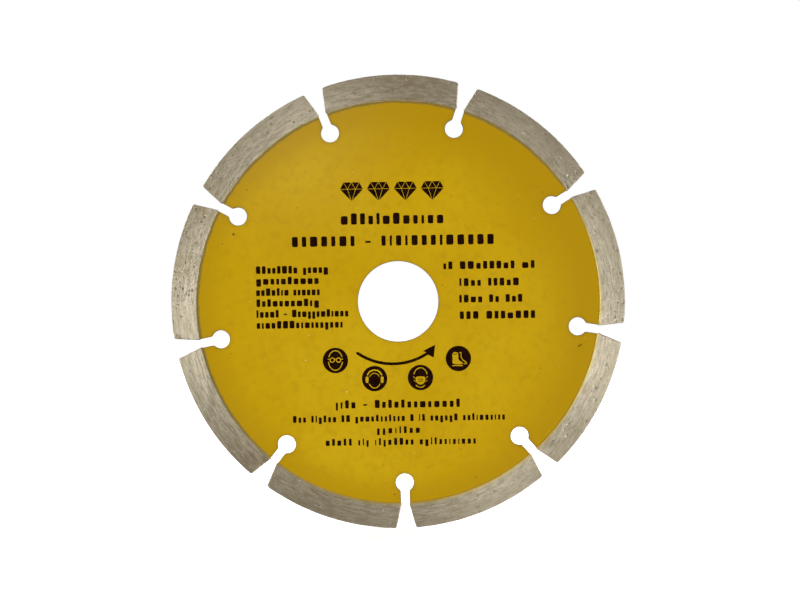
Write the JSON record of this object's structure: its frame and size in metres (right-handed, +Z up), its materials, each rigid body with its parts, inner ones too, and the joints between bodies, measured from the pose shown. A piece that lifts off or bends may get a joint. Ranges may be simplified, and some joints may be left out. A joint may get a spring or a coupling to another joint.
{
  "type": "segmented diamond cutting disc",
  "caption": "Thin upright steel cutting disc, painted and printed on its front, with a central arbor bore, keyhole gullets and sintered diamond segments round its rim.",
  "frame": {"origin": "centre of the arbor bore, halfway through the thickness", "axes": "+Y along the spin axis, out of the plain back face; the printed front faces -Y; +Z up; +X to the right when the front is looked at"},
  "size_m": [0.125, 0.002, 0.125],
  "materials": {
    "core_enamel": "satin mustard-yellow enamel on steel, with a black print on the front; bore and gullet walls bare steel",
    "sintered_diamond": "sintered bronze and cobalt bond with diamond grit, ground round the disc, grey-beige, pitted and dull"
  },
  "bodies": {
    "root": {"steel_core": "core_enamel", "segment_1": "sintered_diamond", "segment_2": "sintered_diamond", "segment_3": "sintered_diamond", "segment_4": "sintered_diamond", "segment_5": "sintered_diamond", "segment_6": "sintered_diamond", "segment_7": "sintered_diamond", "segment_8": "sintered_diamond", "segment_9": "sintered_diamond"}
  },
  "joints": []
}
